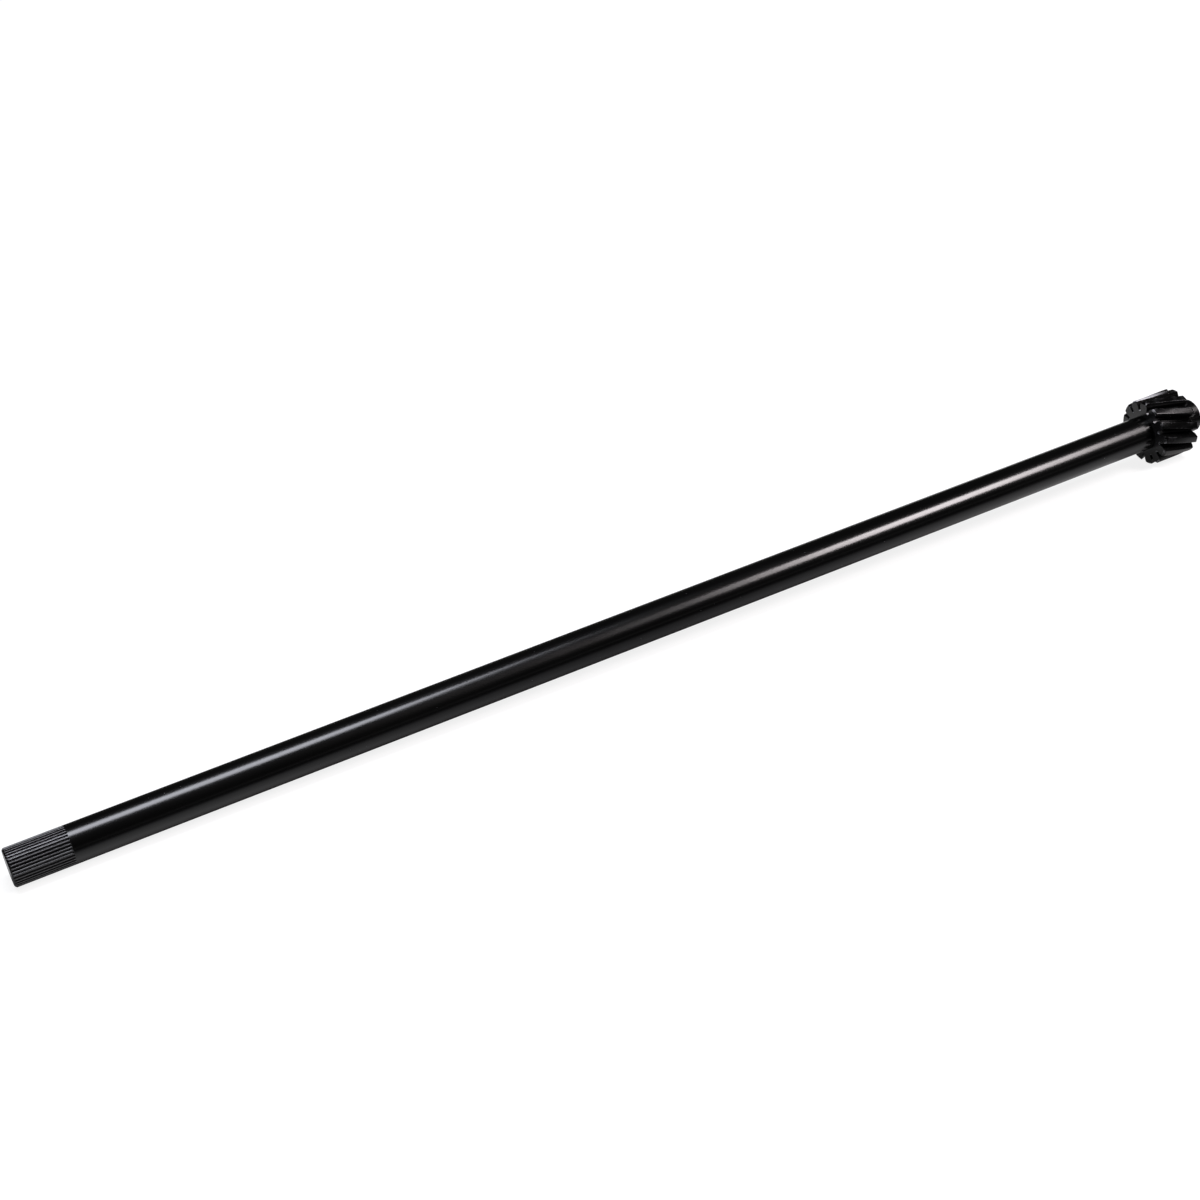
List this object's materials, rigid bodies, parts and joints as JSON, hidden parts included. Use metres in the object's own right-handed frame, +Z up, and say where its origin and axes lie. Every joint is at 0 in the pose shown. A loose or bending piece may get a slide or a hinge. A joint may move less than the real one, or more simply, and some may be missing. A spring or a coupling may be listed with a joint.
{
  "type": "steering shaft",
  "caption": "Straight steel steering shaft with a serrated end for the steering wheel, a helical pinion pressed on the other end and a short journal beyond it.",
  "frame": {"origin": "on the ground under the middle of the shaft, which lies as it comes to rest", "axes": "+X along the shaft from the serrated end towards the pinion, rising by 0.77 degrees because the pinion is thicker than the bar; +Z up"},
  "size_m": [0.5646, 0.0304, 0.0306],
  "materials": {
    "black_bar": "smooth black coat on steel bar, semi-gloss",
    "black_pinion": "thin black coat on a cut gear, satin"
  },
  "bodies": {
    "root": {"shaft": "black_bar", "pinion": "black_pinion"}
  },
  "joints": []
}
